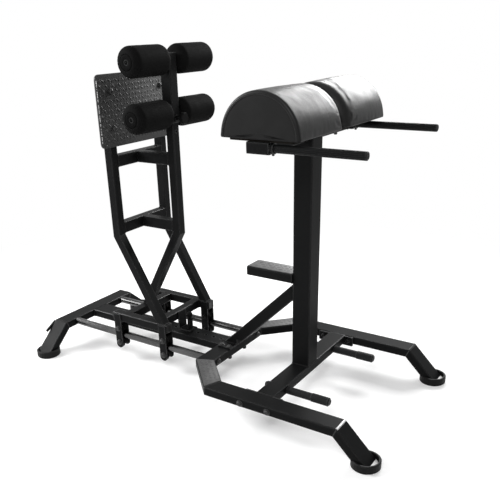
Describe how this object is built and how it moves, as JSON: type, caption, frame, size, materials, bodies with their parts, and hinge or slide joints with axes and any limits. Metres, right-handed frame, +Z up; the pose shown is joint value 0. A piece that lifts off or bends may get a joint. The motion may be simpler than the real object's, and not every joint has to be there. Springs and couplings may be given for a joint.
{
  "type": "glute ham developer",
  "caption": "Floor-standing glute ham developer: split half-round hip pad on a braced post, and a rolling foot carriage with tread plate and adjustable foam ankle rollers.",
  "frame": {"origin": "on the floor, at the centre of the rectangle round the four rubber feet", "axes": "+Z up, +X from the foot carriage towards the hand grips, +Y to the left of a user facing +X"},
  "size_m": [1.812, 0.8414, 1.405],
  "materials": {
    "frame_coat": "satin",
    "tread_coat": "satin",
    "rod_chrome": "polished",
    "peg_steel": "satin",
    "foot_rubber": "satin",
    "pad_vinyl": "gloss",
    "board_wood": "matte",
    "roller_foam": "matte",
    "black_plastic": "satin"
  },
  "bodies": {
    "base_frame": {"rear_cross_tube": "frame_coat", "rear_leg_near": "frame_coat", "rear_leg_far": "frame_coat", "rear_foot_near": "foot_rubber", "rear_foot_far": "foot_rubber", "spine_tube": "frame_coat", "guide_rod_near": "rod_chrome", "guide_rod_far": "rod_chrome", "back_cross_tube": "frame_coat", "corner_tube_near": "frame_coat", "corner_tube_far": "frame_coat", "base_rail_near": "frame_coat", "base_rail_far": "frame_coat", "front_leg_near": "frame_coat", "front_leg_far": "frame_coat", "front_foot_near": "foot_rubber", "front_foot_far": "foot_rubber", "front_cross_tube": "frame_coat", "band_peg_near": "peg_steel", "band_peg_far": "peg_steel", "front_post": "frame_coat", "post_brace": "frame_coat", "step_tube": "frame_coat", "pad_cradle_near": "frame_coat", "pad_cradle_far": "frame_coat", "hand_grip_near": "frame_coat", "hand_grip_far": "frame_coat", "pad_board": "board_wood", "hip_pad_near": "pad_vinyl", "hip_pad_far": "pad_vinyl"},
    "carriage": {"bed_side_tube_near": "frame_coat", "bed_side_tube_far": "frame_coat", "bed_rear_cross": "frame_coat", "bed_front_cross": "frame_coat", "upright_near": "frame_coat", "upright_far": "frame_coat", "centre_post": "frame_coat", "lower_mast_brace": "frame_coat", "upper_mast_brace": "frame_coat", "foot_plate": "tread_coat", "roller_bracket_rear_near": "frame_coat", "roller_bracket_rear_far": "frame_coat", "roller_bracket_front_near": "frame_coat", "roller_bracket_front_far": "frame_coat", "lock_bracket": "frame_coat"},
    "sleeve": {"post_sleeve": "frame_coat"},
    "height_pin": {"height_pin": "black_plastic"},
    "lock_pin": {"lock_pin": "black_plastic"},
    "guide_roller_rear_upper_near": {"guide_roller_rear_upper_near": "black_plastic"},
    "guide_roller_rear_upper_far": {"guide_roller_rear_upper_far": "black_plastic"},
    "guide_roller_rear_lower_near": {"guide_roller_rear_lower_near": "black_plastic"},
    "guide_roller_rear_lower_far": {"guide_roller_rear_lower_far": "black_plastic"},
    "guide_roller_front_upper_near": {"guide_roller_front_upper_near": "black_plastic"},
    "guide_roller_front_upper_far": {"guide_roller_front_upper_far": "black_plastic"},
    "guide_roller_front_lower_near": {"guide_roller_front_lower_near": "black_plastic"},
    "guide_roller_front_lower_far": {"guide_roller_front_lower_far": "black_plastic"},
    "foam_roller_upper_near": {"foam_roller_upper_near": "roller_foam"},
    "foam_roller_upper_far": {"foam_roller_upper_far": "roller_foam"},
    "foam_roller_lower_near": {"foam_roller_lower_near": "roller_foam"},
    "foam_roller_lower_far": {"foam_roller_lower_far": "roller_foam"}
  },
  "joints": [
    {"name": "carriage_slide", "type": "slide", "parent": "base_frame", "child": "carriage", "axis": [1, 0, 0], "range_m": [-0.27, 0.18]},
    {"name": "sleeve_slide", "type": "slide", "parent": "carriage", "child": "sleeve", "axis": [0, 0, 1], "range_m": [-0.055, 0.11]},
    {"name": "height_pin_pull", "type": "slide", "parent": "sleeve", "child": "height_pin", "axis": [1, 0, 0], "range_m": [0, 0.012], "stiffness_N_per_m": 600, "springref_m": -0.005},
    {"name": "lock_pin_pull", "type": "slide", "parent": "carriage", "child": "lock_pin", "axis": [0, 0, 1], "range_m": [0, 0.012], "stiffness_N_per_m": 600, "springref_m": -0.005},
    {"name": "foam_spin_upper_near", "type": "hinge", "parent": "sleeve", "child": "foam_roller_upper_near", "pos_m": [-0.244, 0, 1.346], "axis": [0, 1, 0], "continuous": true},
    {"name": "foam_spin_upper_far", "type": "hinge", "parent": "sleeve", "child": "foam_roller_upper_far", "pos_m": [-0.244, 0, 1.346], "axis": [0, 1, 0], "continuous": true},
    {"name": "foam_spin_lower_near", "type": "hinge", "parent": "sleeve", "child": "foam_roller_lower_near", "pos_m": [-0.244, 0, 1.1375], "axis": [0, 1, 0], "continuous": true},
    {"name": "foam_spin_lower_far", "type": "hinge", "parent": "sleeve", "child": "foam_roller_lower_far", "pos_m": [-0.244, 0, 1.1375], "axis": [0, 1, 0], "continuous": true},
    {"name": "guide_spin_rear_upper_near", "type": "hinge", "parent": "carriage", "child": "guide_roller_rear_upper_near", "pos_m": [-0.5045, -0.1625, 0.1595], "axis": [0, 1, 0], "range_deg": [-845, 565]},
    {"name": "guide_spin_rear_upper_far", "type": "hinge", "parent": "carriage", "child": "guide_roller_rear_upper_far", "pos_m": [-0.5045, 0.1625, 0.1595], "axis": [0, 1, 0], "range_deg": [-845, 565]},
    {"name": "guide_spin_rear_lower_near", "type": "hinge", "parent": "carriage", "child": "guide_roller_rear_lower_near", "pos_m": [-0.5045, -0.1625, 0.0885], "axis": [0, 1, 0], "range_deg": [-565, 845]},
    {"name": "guide_spin_rear_lower_far", "type": "hinge", "parent": "carriage", "child": "guide_roller_rear_lower_far", "pos_m": [-0.5045, 0.1625, 0.0885], "axis": [0, 1, 0], "range_deg": [-565, 845]},
    {"name": "guide_spin_front_upper_near", "type": "hinge", "parent": "carriage", "child": "guide_roller_front_upper_near", "pos_m": [-0.2315, -0.1625, 0.1595], "axis": [0, 1, 0], "range_deg": [-845, 565]},
    {"name": "guide_spin_front_upper_far", "type": "hinge", "parent": "carriage", "child": "guide_roller_front_upper_far", "pos_m": [-0.2315, 0.1625, 0.1595], "axis": [0, 1, 0], "range_deg": [-845, 565]},
    {"name": "guide_spin_front_lower_near", "type": "hinge", "parent": "carriage", "child": "guide_roller_front_lower_near", "pos_m": [-0.2315, -0.1625, 0.0885], "axis": [0, 1, 0], "range_deg": [-565, 845]},
    {"name": "guide_spin_front_lower_far", "type": "hinge", "parent": "carriage", "child": "guide_roller_front_lower_far", "pos_m": [-0.2315, 0.1625, 0.0885], "axis": [0, 1, 0], "range_deg": [-565, 845]}
  ],
  "couplings": [
    {"joint": "guide_spin_rear_upper_near", "follows": "carriage_slide", "rad_per_m": 54.054},
    {"joint": "guide_spin_rear_upper_far", "follows": "carriage_slide", "rad_per_m": 54.054},
    {"joint": "guide_spin_rear_lower_near", "follows": "carriage_slide", "rad_per_m": -54.054},
    {"joint": "guide_spin_rear_lower_far", "follows": "carriage_slide", "rad_per_m": -54.054},
    {"joint": "guide_spin_front_upper_near", "follows": "carriage_slide", "rad_per_m": 54.054},
    {"joint": "guide_spin_front_upper_far", "follows": "carriage_slide", "rad_per_m": 54.054},
    {"joint": "guide_spin_front_lower_near", "follows": "carriage_slide", "rad_per_m": -54.054},
    {"joint": "guide_spin_front_lower_far", "follows": "carriage_slide", "rad_per_m": -54.054}
  ]
}
